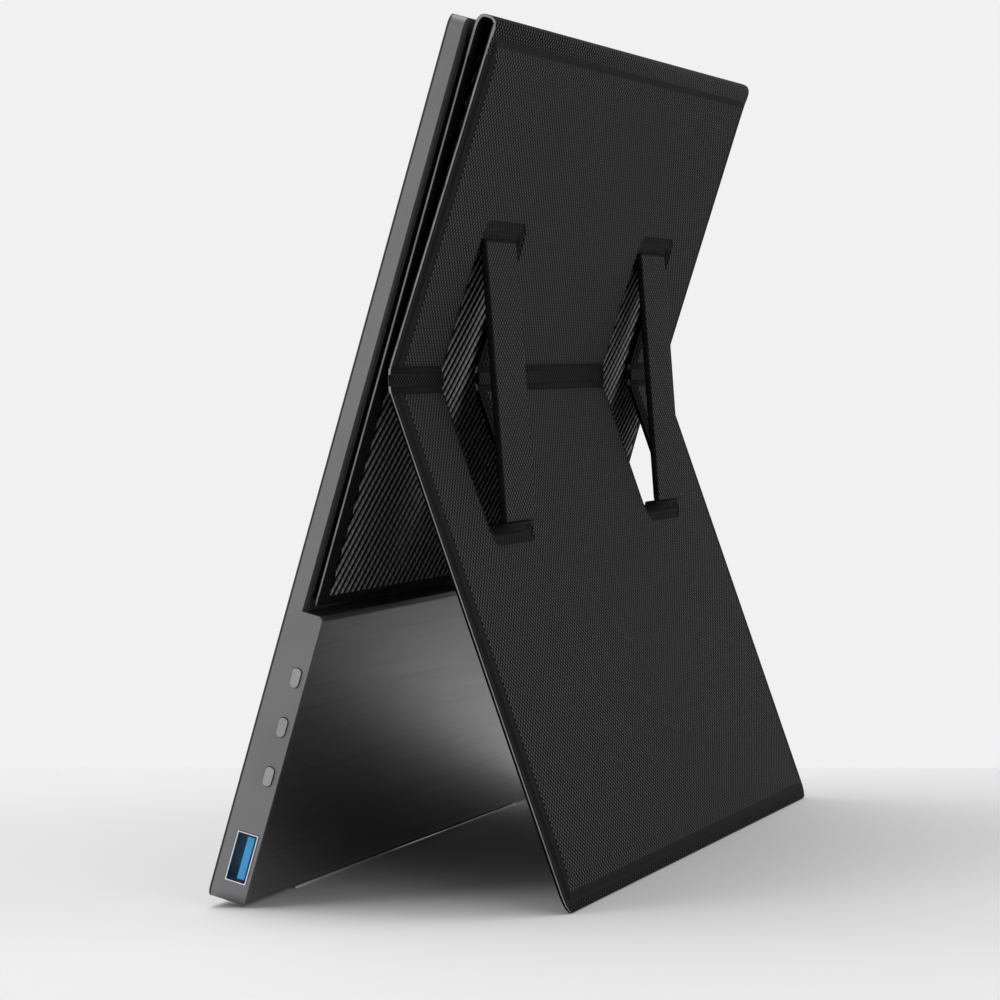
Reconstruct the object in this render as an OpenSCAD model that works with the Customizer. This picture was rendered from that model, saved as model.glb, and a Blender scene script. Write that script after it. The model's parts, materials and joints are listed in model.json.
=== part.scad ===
// Portable monitor standing on its folded cover.
// X runs along the width, +X is the user's right. The screen faces -Y and leans back towards +Y.
// The origin is on the table, under the middle of the whole object.

/* [Display] */
// Width of the display body
body_w = 357; // [330:1:380]
// Height of the display body along its face
body_h = 231; // [205:1:255]
// Thickness of the upper part of the body
thin_t = 4.2; // [4:0.1:5]
// Thickness of the lower part, which holds the electronics
chin_t = 9.9; // [9.5:0.1:11]
// Height of the thick lower part
chin_h = 76.4; // [74:0.2:90]
// Corner radius of the body, seen from the front
corner_r = 3; // [2:0.5:5]
// Wall of the metal body around the electronics
wall = 1.3; // [1:0.1:1.6]
// Backward lean of the display when it stands, in degrees
lean = 15.9; // [13:0.1:18]
// Border beside the picture panel
panel_side = 3.5; // [3:0.5:25]
// Border above the picture panel
panel_top = 5; // [5:1:30]
// Border below the picture panel
panel_low = 25; // [15:1:40]

/* [Side controls] */
// Centre of the USB-A socket above the bottom edge
usb_u = 12; // [9:0.5:14]
// Width of the USB-A shell
usb_w = 13; // [12.5:0.1:13.5]
// Height of the USB-A shell
usb_h = 5.6; // [5.2:0.1:5.8]
// Depth of the USB-A shell
usb_depth = 14; // [10:0.5:18]
// Height of the lowest button above the bottom edge
button_u = 33.8; // [26:0.1:36]
// Distance from one button to the next
button_pitch = 13; // [9:0.5:15]
// Length of a button
button_l = 5; // [4:0.1:7]
// Thickness of a button
button_t = 2.3; // [1.8:0.1:2.8]
// How far a button stands out of the side
button_out = 0.6; // [0.4:0.05:1]
// How far a button travels
button_travel = 0.4; // [0.2:0.05:0.5]
// Radius of the headphone socket
jack_r = 1.8; // [1.76:0.01:1.85]

/* [Cover] */
// Distance from each side of the body to the side of the cover
cover_inset = 3.4; // [0.5:0.1:6]
// Thickness of the ribbed outer skin
skin_t = 0.4; // [0.3:0.05:0.5]
// Thickness of the stiffening board
board_t = 0.9; // [0.6:0.1:0.9]
// Thickness of the woven lining
lining_t = 0.45; // [0.3:0.05:0.45]
// Distance between the two folds of the spine
spine_w = 6.3; // [6.2:0.1:8]
// Height of the spine folds above the top of the body
spine_rise = 1.2; // [1:0.1:2]
// Extra tilt of the upper panel towards the body, in degrees
upper_tilt = 1.5; // [1:0.1:1.6]
// Length of the upper panel, from the spine fold to the crease
upper_len = 91.7; // [90:0.1:94]
// Distance between the two folds of the crease
crease_w = 4.8; // [4:0.1:6]
// Bend of the first crease fold, in degrees
crease_bend = 18.3; // [16:0.1:20]
// How far the closed cover reaches below the bottom edge of the body
cover_over = 3; // [2:0.1:6]
// Width of the flat pressed edge around a panel
edge_w = 5; // [3:0.5:8]
// Corner radius at the foot of the lower panel
foot_r = 5; // [2:0.5:10]
// Lowest edge of the fixed back panel above the top of the thick lower part
back_gap = 2.6; // [1:0.1:6]

/* [Struts] */
// Distance from the middle of the object to the middle of a strut
strut_x = 101; // [60:1:120]
// Width of a window
window_w = 40; // [38:0.5:50]
// Clear gap between a strut and each side of its window
strut_gap = 2.5; // [1:0.1:4]
// Height of the strut fold above the crease
window_up = 35.2; // [33:0.1:38]
// Distance of the flap fold below the crease
window_down = 37.8; // [36.5:0.1:39]
// Length of the flap that holds the foot of a strut
flap_len = 3.3; // [3.1:0.1:3.5]

/* [Hidden] */
$fn = 48;

// Clearances
seam = 0.1;
slide_gap = 0.15;
fold_gap = 0.3;
end_gap = 0.75;
tip_gap = 0.2;
part_gap = 0.5;
cut = 5;

// The body
half_w = body_w / 2;
front_round = 1;
back_round = 1.3;
lift = 0.3;
glass_t = 0.6;
glass_in = 0.05;
glass_lip = 0.8;
cell_t = 1.1;
guide_t = 1.5;
reflector_t = 0.3;
pocket_back = glass_t + cell_t + guide_t + reflector_t;
panel_w = body_w - 2 * panel_side;
panel_h = body_h - panel_low - panel_top;
bar_t = 1.2;
cover_t = 0.8;
shoulder_t = 0.9;
foot_half = half_w - 50;
foot_t = 0.9;
foot_front = 5.9;
foot_back = chin_t - 0.9;

// The speakers
speaker_inset = 40;
speaker_w = 40;
speaker_top = 20;
speaker_u = 11;
speaker_r = 6;
speaker_back = chin_t - cover_t;
slot_count = 6;
slot_pitch = 3;
slot_w = 1.5;
slot_front = thin_t + 1.5;
slot_back = chin_t - 2.2;

// The boards
post_r = 2.5;
screw_r = 1;
screw_head_r = 1.9;
screw_head_t = 0.9;
screw_play = 0.05;
board_v = thin_t + 1.4;
pcb_t = 1.2;
board_back = board_v + pcb_t;
board_left = speaker_inset + speaker_w / 2 + part_gap - half_w;
cable_room = 20;
board_right = -board_left - cable_room;
board_mid = (board_left + board_right) / 2;
board_low = 9;
board_high = chin_h - 6;
post_margin = 8;
post_x = [board_left + post_margin, board_mid, board_right - post_margin];
post_z = [board_low + post_margin - 1, board_high - post_margin];
chip_count = 5;
chip_pitch = (board_right - board_left) / chip_count;
chip = 14;
chip_t = 1.1;
chip_low = 24;
chip_step = 6;
driver_half = half_w - 38.5;
driver_t = 1;
driver_low = chin_h - 5;
driver_high = chin_h - 1.2;
cable_w = 30;
cable_pitch = 80;
cable_t = 0.3;
button_pcb_t = 1;
switch_room = 4.2;
switch_t = 1.8;
switch_half = 2.2;
stem_r = 0.7;

// The ports and the buttons
usb_v = chin_t - 3.8;
port_wall = 0.3;
usb_out = 0.25;
tongue_w = 11.1;
tongue_t = 1.9;
tongue_back = 0.7;
tongue_v = usb_h / 2 - port_wall - tongue_back;
tongue_root = 3;
tongue_in = 1;
contact_pitch = 2.5;
contact_w = 1;
contact_t = 0.15;
button_v = chin_t - 2.7;
switch_half_t = 1.5;
flange = 0.7;
flange_t = 0.5;
port_v = chin_t - 3.3;
jack_u = 60;
hdmi_w = 11.2;
hdmi_h = 3.3;
hdmi_len = 8;
hdmi_u = 14;
usb_c_w = 9;
usb_c_h = 3.2;
usb_c_len = 7.5;
usb_c_u = [29, 43];
small_tongue_t = 0.7;
jack_len = 12;
jack_wall = 0.6;
jack_body = 6;
port_board_depth = 17;
port_board_end = 8;

// The cover, in section
edge_t = skin_t + lining_t;
panel_t = skin_t + board_t + lining_t;
face_n = 0.8;
inner_n = face_n - panel_t;
edge_n = inner_n + edge_t / 2;
bead_r = 0.45;
sheet_t = 0.8;
cover_half = half_w - cover_inset;
window_edge = 3;
crease_edge = 2.5;
tape_t = 0.2;
tape_in = 2;
top_margin = 3;
magnet_r = 5;
magnet_u = 14;
magnet_inset = 40;
magnet_pitch = 2 * (cover_half - magnet_inset) / 3;
magnet_x = [for (i = [-1.5:1:1.5]) i * magnet_pitch];
strut_w = window_w - 2 * strut_gap;
strut_edge = 1;

lower_len = body_h + spine_rise + cover_over - upper_len - crease_w;

// The folds at rest, as [y, z] from the lower back edge of the body
spine_v = thin_t + 1;
spine_fold = [(body_h + spine_rise) * sin(lean) + (spine_v - chin_t) * cos(lean),
    lift + (body_h + spine_rise) * cos(lean) - (spine_v - chin_t) * sin(lean)];
upper_fold = spine_fold + spine_w * [cos(lean), -sin(lean)];
upper_lean = lean + upper_tilt;
crease_top = upper_fold + along(upper_lean, -upper_len, edge_n);
crease_lean = upper_lean - crease_bend;
crease_low = crease_top + along(crease_lean, -crease_w, 0);
foot_reach = norm([lower_len, edge_t / 2]);
lower_tilt = atan(edge_t / 2 / lower_len) + acos(crease_low[1] / foot_reach);
strut_fold = upper_fold + along(upper_lean, window_up - upper_len, 0);
flap_fold = crease_low + along(-lower_tilt, -window_down, -edge_n);
flap_reach = flap_len + tip_gap;
strut_reach = window_up + crease_w + window_down - flap_reach;
strut_len = strut_reach - end_gap;
span = norm(flap_fold - strut_fold);
span_lean = atan2(strut_fold[0] - flap_fold[0], strut_fold[1] - flap_fold[1]);
strut_corner = triangle_angle(strut_reach, span, flap_reach);
flap_corner = triangle_angle(flap_reach, span, strut_reach);
strut_lean = span_lean - strut_corner;
flap_lean = span_lean + flap_corner;

// The turns that close the cover over the screen, in degrees
closed_turn = 180;
panel_turn = closed_turn + upper_tilt;
lower_bend = crease_lean + lower_tilt;
strut_turn = upper_lean - strut_lean;
flap_turn = flap_lean + lower_tilt;

// The middle of the whole object
front_y = (front_round - chin_t) * cos(lean) + front_round * sin(lean) - front_round;
back_y = crease_low[0] + lower_len * sin(lower_tilt) + edge_t / 2 * cos(lower_tilt);
mid_y = (front_y + back_y) / 2;

// A step of u upwards and n outwards on a face that leans back by a, as [y, z]
function along(a, u, n) = [u * sin(a) + n * cos(a), u * cos(a) - n * sin(a)];

// The angle between sides a and b of a triangle
function triangle_angle(a, b, c) = acos((a * a + b * b - c * c) / (2 * a * b));

echo(spine_fold=spine_fold - [mid_y, 0], upper_fold=upper_fold - [mid_y, 0]);
echo(crease_top=crease_top - [mid_y, 0], crease_low=crease_low - [mid_y, 0]);
echo(strut_fold=strut_fold - [mid_y, 0], flap_fold=flap_fold - [mid_y, 0]);
echo(panel_turn=panel_turn, lower_bend=lower_bend, strut_turn=strut_turn, flap_turn=flap_turn);
echo(lower_tilt=lower_tilt, strut_lean=strut_lean, flap_lean=flap_lean, mid_y=mid_y);
echo(front_y=front_y - mid_y, back_y=back_y - mid_y, edge_n=edge_n, inner_n=inner_n);

// Places its children on the display: y is the depth from the front, z the height up the face
module on_display()
    translate([0, -mid_y, lift]) rotate([-lean, 0, 0]) translate([0, -chin_t, 0]) children();

// Places its children on a fold: z points up the leaning sheet, y outwards
module on_fold(place, a)
    translate([0, place[0] - mid_y, place[1]]) rotate([-a, 0, 0]) children();

// A box from two corners
module box(low, high)
    translate(low) cube(high - low);

// Extrudes an outline drawn in (y, z) from x0 to x1
module along_x(x0, x1)
    translate([x0, 0, 0]) rotate([90, 0, 90]) linear_extrude(x1 - x0) children();

// Extrudes an outline drawn in (x, z) from y0 to y1
module along_y(y0, y1)
    translate([0, y1, 0]) rotate([90, 0, 0]) linear_extrude(y1 - y0) children();

// A rectangle with round corners, from two corners
module round_rect(low, high, r) {
    translate([low[0] + r, low[1]]) square([high[0] - low[0] - 2 * r, high[1] - low[1]]);
    translate([low[0], low[1] + r]) square([high[0] - low[0], high[1] - low[1] - 2 * r]);
    for (x = [low[0] + r, high[0] - r], z = [low[1] + r, high[1] - r])
        translate([x, z]) circle(r);
}

// A cylinder along X
module rod(x0, x1, r)
    translate([x0, 0, 0]) rotate([0, 90, 0]) cylinder(h=x1 - x0, r=r);

// A slot shape along X, longer in z, centred on its axis
module obround(x0, x1, l, t)
    along_x(x0, x1) union() {
        square([t, l - t], center=true);
        for (s = [-1, 1]) translate([0, s * (l - t) / 2]) circle(t / 2);
    }

// The outline of the body from the side, with its thick lower part
module body_profile() {
    square_to([0, front_round], [thin_t, body_h]);
    square_to([front_round, 0], [chin_t - back_round, chin_h]);
    square_to([0, front_round], [chin_t, chin_h - back_round]);
    translate([front_round, front_round]) circle(front_round);
    translate([chin_t - back_round, back_round]) circle(back_round);
    translate([chin_t - back_round, chin_h - back_round]) circle(back_round);
}

module square_to(low, high)
    translate(low) square(high - low);

module body_solid() intersection() {
    along_x(-half_w, half_w) body_profile();
    along_y(-cut, chin_t + cut) round_rect([-half_w, 0], [half_w, body_h], corner_r);
}

// Places of the screws that hold the main board, as [x, z]
function board_posts() = [for (x = post_x, z = post_z) [x, z]];

module side_frame() color("dimgray") on_display() difference() {
    union() {
        difference() {
            body_solid();
            box([wall - half_w, thin_t, wall], [half_w - wall, chin_t + cut, chin_h + cut]);
        }
        for (p = board_posts()) translate([p[0], thin_t - wall / 2, p[1]]) rotate([-90, 0, 0])
            cylinder(h=board_v - thin_t + wall / 2, r=post_r);
    }
    along_y(-cut, glass_t)
        round_rect([glass_lip - half_w, glass_lip], [half_w - glass_lip, body_h - glass_lip],
            corner_r - glass_lip);
    box([-panel_w / 2 - seam, 0, panel_low - bar_t - 2 * seam],
        [panel_w / 2 + seam, pocket_back, panel_low + panel_h + seam]);
    for (p = board_posts()) translate([p[0], thin_t, p[1]]) rotate([-90, 0, 0])
        cylinder(h=chin_t, r=screw_r);
    usb_hole();
    for (i = [0:2]) translate([0, button_v, button_place(i)])
        obround(half_w - wall - cut, half_w + cut, button_l + 2 * slide_gap,
            button_t + 2 * slide_gap);
    far_port_holes();
    for (s = [-1, 1], i = [0:slot_count - 1])
        translate([s * (half_w - speaker_inset) + slot_pitch * (i - slot_count / 2), 0, 0])
            box([0, slot_front, -cut], [slot_w, slot_back, wall + cut]);
}

function button_place(i) = button_u + i * button_pitch;

module usb_hole()
    box([half_w - usb_depth - seam, usb_v - usb_h / 2 - seam, usb_u - usb_w / 2 - seam],
        [half_w + cut, usb_v + usb_h / 2 + seam, usb_u + usb_w / 2 + seam]);

module far_port_holes() {
    translate([0, port_v, jack_u]) rod(-half_w - cut, cut - half_w, jack_r + jack_wall + seam);
    for (u = usb_c_u) translate([0, port_v, u])
        obround(-half_w - cut, cut - half_w, usb_c_w + 2 * seam, usb_c_h + 2 * seam);
    box([-half_w - cut, port_v - hdmi_h / 2 - seam, hdmi_u - hdmi_w / 2 - seam],
        [cut - half_w, port_v + hdmi_h / 2 + seam, hdmi_u + hdmi_w / 2 + seam]);
}

module front_glass() color("black") on_display()
    along_y(glass_in, glass_t)
        round_rect([glass_lip + seam - half_w, glass_lip + seam],
            [half_w - glass_lip - seam, body_h - glass_lip - seam], corner_r - glass_lip - seam);

module lcd_cell() color("darkslategray") on_display()
    box([-panel_w / 2, glass_t, panel_low], [panel_w / 2, glass_t + cell_t, panel_low + panel_h]);

module light_guide() color("white") on_display()
    box([-panel_w / 2, glass_t + cell_t, panel_low],
        [panel_w / 2, glass_t + cell_t + guide_t, panel_low + panel_h]);

module reflector() color("silver") on_display()
    box([-panel_w / 2, pocket_back - reflector_t, panel_low],
        [panel_w / 2, pocket_back, panel_low + panel_h]);

module light_bar() color("khaki") on_display()
    box([-panel_w / 2, glass_t + cell_t, panel_low - bar_t - seam],
        [panel_w / 2, pocket_back, panel_low - seam]);

module chin_cover() color("#2b2b2d") on_display() intersection() {
    body_solid();
    difference() {
        box([wall + seam - half_w, thin_t, wall + seam], [half_w - wall - seam, chin_t, chin_h]);
        box([-half_w, -cut, -cut], [half_w, chin_t - cover_t, chin_h - shoulder_t]);
    }
}

module main_board() color("darkgreen") on_display() difference() {
    union() {
        box([board_left, board_v, board_low], [board_right, board_back, board_high]);
        for (i = [0:chip_count - 1])
            translate([board_left + chip_pitch * (i + 0.5), board_back, chip_low + chip_step * (i % 2)])
                box([-chip / 2, 0, 0], [chip / 2, chip_t, chip]);
    }
    for (p = board_posts()) translate([p[0], board_v - cut, p[1]]) rotate([-90, 0, 0])
        cylinder(h=2 * cut, r=screw_r + seam);
}

module board_screws() color("silver") on_display()
    for (p = board_posts()) translate([p[0], 0, p[1]]) rotate([-90, 0, 0]) {
        translate([0, 0, thin_t + seam]) cylinder(h=board_back - thin_t, r=screw_r - screw_play);
        translate([0, 0, board_back]) cylinder(h=screw_head_t, r=screw_head_r);
    }

module driver_board() color("darkgreen") on_display()
    box([-driver_half, thin_t, driver_low], [driver_half, thin_t + driver_t, driver_high]);

module display_cable() color("peru") on_display()
    for (s = [-1, 1]) translate([board_mid + s * cable_pitch / 2, 0, 0])
        along_x(-cable_w / 2, cable_w / 2) polygon([[thin_t + driver_t, driver_low],
            [board_v, board_high + seam], [board_back, board_high + seam],
            [board_back, board_high + part_gap], [thin_t + driver_t + cable_t, driver_low + 2],
            [thin_t + driver_t, driver_low + 2]]);

module button_board() color("darkgreen") on_display()
    box([half_w - wall - switch_room - button_pcb_t, thin_t, button_u - button_l],
        [half_w - wall - switch_room, chin_t - cover_t - part_gap, button_place(2) + button_l]);

module button_switches() color("gainsboro") on_display()
    for (i = [0:2]) translate([0, button_v, button_place(i)]) {
        translate([half_w - wall - switch_room, 0, 0])
            box([0, -switch_half_t, -switch_half], [switch_t, switch_half_t, switch_half]);
        rod(half_w - wall - switch_room + switch_t,
            half_w - wall - flange_t - button_travel - 2 * slide_gap, stem_r);
    }

// Button i: 0 is the lowest
module side_button(i) color("gray") on_display() translate([0, button_v, button_place(i)]) {
    obround(half_w - wall - flange_t, half_w + button_out, button_l, button_t);
    obround(half_w - wall - slide_gap - flange_t, half_w - wall - slide_gap,
        button_l + flange, button_t + flange);
}

module power_button() side_button(0);
module up_button() side_button(2);
module down_button() side_button(1);

module usb_a_shell() color("silver") on_display() translate([0, usb_v, usb_u]) difference() {
    box([half_w - usb_depth, -usb_h / 2, -usb_w / 2], [half_w + usb_out, usb_h / 2, usb_w / 2]);
    box([half_w - usb_depth + port_wall, port_wall - usb_h / 2, port_wall - usb_w / 2],
        [half_w + cut, usb_h / 2 - port_wall, usb_w / 2 - port_wall]);
}

module usb_a_tongue() color("blue") on_display() translate([0, usb_v, usb_u]) {
    box([half_w - usb_depth + port_wall, port_wall - usb_h / 2, port_wall - usb_w / 2],
        [half_w - usb_depth + tongue_root, usb_h / 2 - port_wall, usb_w / 2 - port_wall]);
    box([half_w - usb_depth + tongue_root / 2, tongue_v - tongue_t, -tongue_w / 2],
        [half_w - tongue_in, tongue_v, tongue_w / 2]);
}

module usb_a_contacts() color("gold") on_display() translate([0, usb_v, usb_u]) {
    for (i = [-1.5:1:1.5]) translate([0, 0, contact_pitch * i])
        box([half_w - usb_depth + tongue_root, tongue_v - tongue_t - contact_t, -contact_w / 2],
            [half_w - 2 * tongue_in, tongue_v - tongue_t, contact_w / 2]);
}

module port_board() color("darkgreen") on_display()
    box([wall + seam - half_w, thin_t, hdmi_u - port_board_end],
        [wall + port_board_depth - half_w, port_v - hdmi_h / 2, usb_c_u[1] + port_board_end]);

module usb_c_ports() color("silver") on_display()
    for (u = usb_c_u) translate([0, port_v, u]) {
        difference() {
            obround(-half_w, usb_c_len - half_w, usb_c_w, usb_c_h);
            obround(-half_w - cut, usb_c_len - port_wall - half_w, usb_c_w - 2 * port_wall,
                usb_c_h - 2 * port_wall);
        }
        small_tongue(usb_c_len, usb_c_w);
    }

// The tongue inside a small socket on the far side
module small_tongue(len, w)
    box([tongue_in - half_w, -small_tongue_t / 2, small_tongue_t + 2 * port_wall - w / 2],
        [len - port_wall / 2 - half_w, small_tongue_t / 2, w / 2 - small_tongue_t - 2 * port_wall]);

module mini_hdmi_port() color("silver") on_display() translate([0, port_v, hdmi_u]) {
    difference() {
        box([-half_w, -hdmi_h / 2, -hdmi_w / 2], [hdmi_len - half_w, hdmi_h / 2, hdmi_w / 2]);
        box([-half_w - cut, port_wall - hdmi_h / 2, port_wall - hdmi_w / 2],
            [hdmi_len - port_wall - half_w, hdmi_h / 2 - port_wall, hdmi_w / 2 - port_wall]);
    }
    small_tongue(hdmi_len, hdmi_w);
}

module headphone_jack() color("black") on_display() translate([0, port_v, jack_u]) difference() {
    union() {
        box([wall + seam - half_w, thin_t - port_v, -jack_body / 2],
            [jack_len + wall - half_w, chin_t - cover_t - port_v - seam, jack_body / 2]);
        rod(-half_w, 2 * wall - half_w, jack_r + jack_wall);
    }
    rod(-half_w - cut, jack_len - half_w, jack_r);
}

// A flat speaker in the lower part; side is 1 on the user's right
module speaker(side) color("black") on_display()
    translate([side * (half_w - speaker_inset), 0, 0]) {
        box([-speaker_w / 2, thin_t, wall + 2 * seam],
            [speaker_w / 2, speaker_back - part_gap, speaker_top]);
        translate([0, thin_t + wall, speaker_u]) rotate([-90, 0, 0])
            cylinder(h=speaker_back - thin_t - wall - 2 * seam, r=speaker_r);
    }

module right_speaker() speaker(1);
module left_speaker() speaker(-1);

// The rubber foot, cut flat where it stands on the table
module foot_strip() color("#151515") intersection() {
    on_display() box([-foot_half, foot_front, -foot_t], [foot_half, foot_back, 0]);
    box([-body_w, -body_w, 0], [body_w, body_w, body_w]);
}

// The fixed panel on the back of the display
back_low = chin_h + back_gap;
back_high = body_h + spine_rise - bead_r - fold_gap;

module back_tape() color("#202020") on_display()
    box([tape_in - cover_half, thin_t, back_low + tape_in],
        [cover_half - tape_in, thin_t + tape_t, back_high - edge_w - 1]);

module back_plate_2d(margin, top)
    square_to([margin - cover_half, back_low + margin], [cover_half - margin, back_high - top]);

module back_board() color("#3a3226") on_display() difference() {
    along_y(thin_t + tape_t, thin_t + tape_t + board_t)
        back_plate_2d(edge_w, edge_w + top_margin);
    for (x = magnet_x) translate([x, 0, back_low + magnet_u]) rotate([-90, 0, 0])
        cylinder(h=chin_t, r=magnet_r);
}

module back_magnets() color("silver") on_display()
    for (x = magnet_x) translate([x, thin_t + tape_t, back_low + magnet_u]) rotate([-90, 0, 0])
        cylinder(h=board_t, r=magnet_r - seam);

module back_skin() color("#222222") on_display()
    pan(thin_t + tape_t, board_t, skin_t) {
        back_plate_2d(0, 0);
        back_plate_2d(edge_w - skin_t, edge_w + top_margin - skin_t);
        back_plate_2d(edge_w, edge_w + top_margin);
    }

// A sheet pressed over a board: child 0 is its outline, child 1 the raised part, child 2 the board
module pan(base, rise, t) difference() {
    union() {
        along_y(base, base + t) children(0);
        along_y(base, base + rise + t) children(1);
    }
    along_y(base - cut, base + rise) children(2);
}

// The spine: a strip between two beads on the fold lines
module spine_band() color("#1d1d1d") on_fold(spine_fold, lean) {
    box([-cover_half, 0, -sheet_t / 2], [cover_half, spine_w, sheet_t / 2]);
    for (y = [0, spine_w]) translate([0, y, 0]) rod(-cover_half, cover_half, bead_r);
}

// The windows, drawn larger by margin, between two heights
module windows_2d(margin, low, high)
    for (s = [-1, 1])
        square_to([s * strut_x - window_w / 2 - margin, low],
            [s * strut_x + window_w / 2 + margin, high]);

// The upper panel, drawn with its edge pulled in by side, top and low
module upper_2d(side, top, low, margin) difference() {
    square_to([side - cover_half, low + bead_r + fold_gap - upper_len],
        [cover_half - side, -bead_r - fold_gap - top]);
    windows_2d(margin, -upper_len - cut, window_up - upper_len + bead_r + fold_gap + margin);
}

module upper_skin() color("#222222") on_fold(upper_fold, upper_lean)
    along_y(inner_n, inner_n + skin_t) upper_2d(0, 0, 0, 0);

module upper_board() color("#3a3226") on_fold(upper_fold, upper_lean)
    along_y(inner_n + skin_t, face_n - lining_t)
        upper_2d(edge_w, edge_w + 2, crease_edge, window_edge);

module upper_lining() color("#2e2e2e") on_fold(upper_fold, upper_lean)
    pan(inner_n + skin_t, board_t, lining_t) {
        upper_2d(0, 0, 0, 0);
        upper_2d(edge_w - lining_t, edge_w + 2 - lining_t, crease_edge - lining_t,
            window_edge - lining_t);
        upper_2d(edge_w, edge_w + 2, crease_edge, window_edge);
    }

// The soft band in the crease: three strips beside the windows, each with a bead on both folds
window_inner = strut_x - window_w / 2;
window_outer = strut_x + window_w / 2;

module crease_band() color("#262626") on_fold(crease_top, crease_lean)
    for (x = [[-cover_half, -window_outer], [-window_inner, window_inner],
            [window_outer, cover_half]]) {
        box([x[0], -sheet_t / 2, -crease_w], [x[1], sheet_t / 2, 0]);
        for (z = [-crease_w, 0]) translate([0, 0, z]) rod(x[0], x[1], bead_r);
    }

// The lower panel, drawn with its edge pulled in
module lower_2d(side, top, low, margin) difference() {
    union() {
        square_to([side - cover_half, foot_r + low - lower_len],
            [cover_half - side, -bead_r - fold_gap - top]);
        round_rect([side - cover_half, low - lower_len],
            [cover_half - side, -lower_len / 2], foot_r);
    }
    windows_2d(margin, -window_down - bead_r - fold_gap - margin, cut);
}

module on_lower()
    on_fold(crease_low, -lower_tilt) translate([0, -edge_n, 0]) children();

module lower_skin() color("#222222") on_lower()
    along_y(inner_n, inner_n + skin_t) lower_2d(0, 0, 0, 0);

// Places its children at the magnets in the foot of the lower panel
module at_lower_magnets()
    for (x = magnet_x) translate([x, inner_n + skin_t, magnet_u - lower_len]) rotate([-90, 0, 0])
        children();

module lower_board() color("#3a3226") on_lower() difference() {
    along_y(inner_n + skin_t, face_n - lining_t)
        lower_2d(edge_w, crease_edge, edge_w, window_edge);
    at_lower_magnets() translate([0, 0, -cut]) cylinder(h=3 * cut, r=magnet_r);
}

module lower_magnets() color("silver") on_lower()
    at_lower_magnets() cylinder(h=board_t, r=magnet_r - seam);

module lower_lining() color("#2e2e2e") on_lower()
    pan(inner_n + skin_t, board_t, lining_t) {
        lower_2d(0, 0, 0, 0);
        lower_2d(edge_w - lining_t, crease_edge - lining_t, edge_w - lining_t,
            window_edge - lining_t);
        lower_2d(edge_w, crease_edge, edge_w, window_edge);
    }

// A strut hangs from its fold; side is 1 on the user's right
module strut_2d(side, margin)
    square_to([side * strut_x - strut_w / 2 + margin, margin - strut_len],
        [side * strut_x + strut_w / 2 - margin, -2 * bead_r - margin]);

module strut_skin(side) color("#222222") on_fold(strut_fold, strut_lean) {
    along_y(inner_n, inner_n + skin_t) strut_2d(side, 0);
}

module strut_core(side) color("#3a3226") on_fold(strut_fold, strut_lean)
    along_y(inner_n + skin_t, face_n - lining_t) strut_2d(side, strut_edge);

module strut_sleeve(side) color("#2e2e2e") on_fold(strut_fold, strut_lean) {
    pan(inner_n + skin_t, board_t, lining_t) {
        strut_2d(side, 0);
        strut_2d(side, 0);
        strut_2d(side, strut_edge);
    }
    translate([side * strut_x, 0, 0]) {
        rod(-strut_w / 2, strut_w / 2, bead_r);
        box([-strut_w / 2, -sheet_t / 2, -2 * bead_r - strut_edge / 2],
            [strut_w / 2, sheet_t / 2, 0]);
    }
}

module flap(side) color("#1a1a1a") on_fold(flap_fold, flap_lean)
    translate([side * strut_x, 0, 0]) {
        rod(-strut_w / 2, strut_w / 2, bead_r);
        box([-strut_w / 2, -sheet_t / 2, 0], [strut_w / 2, sheet_t / 2, flap_len]);
    }

module right_strut_skin() strut_skin(1);
module right_strut_core() strut_core(1);
module right_strut_sleeve() strut_sleeve(1);
module right_flap() flap(1);
module left_strut_skin() strut_skin(-1);
module left_strut_core() strut_core(-1);
module left_strut_sleeve() strut_sleeve(-1);
module left_flap() flap(-1);

side_frame();
front_glass();
lcd_cell();
light_guide();
reflector();
light_bar();
chin_cover();
main_board();
board_screws();
driver_board();
display_cable();
button_board();
button_switches();
power_button();
up_button();
down_button();
usb_a_shell();
usb_a_tongue();
usb_a_contacts();
port_board();
usb_c_ports();
mini_hdmi_port();
headphone_jack();
right_speaker();
left_speaker();
foot_strip();
back_tape();
back_board();
back_magnets();
back_skin();
spine_band();
upper_skin();
upper_board();
upper_lining();
crease_band();
lower_skin();
lower_board();
lower_lining();
lower_magnets();
right_strut_skin();
right_strut_core();
right_strut_sleeve();
right_flap();
left_strut_skin();
left_strut_core();
left_strut_sleeve();
left_flap();
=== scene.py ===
"""Looks of the portable monitor on its folded cover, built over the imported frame."""
import json
import math

import bpy
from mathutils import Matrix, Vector


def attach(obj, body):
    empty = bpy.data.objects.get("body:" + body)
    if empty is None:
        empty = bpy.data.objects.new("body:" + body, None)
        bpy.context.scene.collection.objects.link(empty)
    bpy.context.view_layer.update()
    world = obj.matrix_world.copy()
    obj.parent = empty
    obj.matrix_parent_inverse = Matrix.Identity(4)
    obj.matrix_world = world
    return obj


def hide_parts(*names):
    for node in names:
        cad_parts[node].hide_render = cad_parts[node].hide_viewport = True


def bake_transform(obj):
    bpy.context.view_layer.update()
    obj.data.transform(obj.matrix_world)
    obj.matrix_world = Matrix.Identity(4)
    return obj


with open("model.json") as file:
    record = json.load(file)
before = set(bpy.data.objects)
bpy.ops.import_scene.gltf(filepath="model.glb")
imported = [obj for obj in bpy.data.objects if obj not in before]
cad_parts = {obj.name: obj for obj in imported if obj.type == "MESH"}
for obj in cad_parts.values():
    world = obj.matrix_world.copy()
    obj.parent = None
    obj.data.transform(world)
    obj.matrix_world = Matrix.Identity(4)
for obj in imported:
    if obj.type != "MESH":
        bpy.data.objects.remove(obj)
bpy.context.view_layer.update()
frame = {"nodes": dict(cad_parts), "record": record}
MM = 0.001

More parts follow.
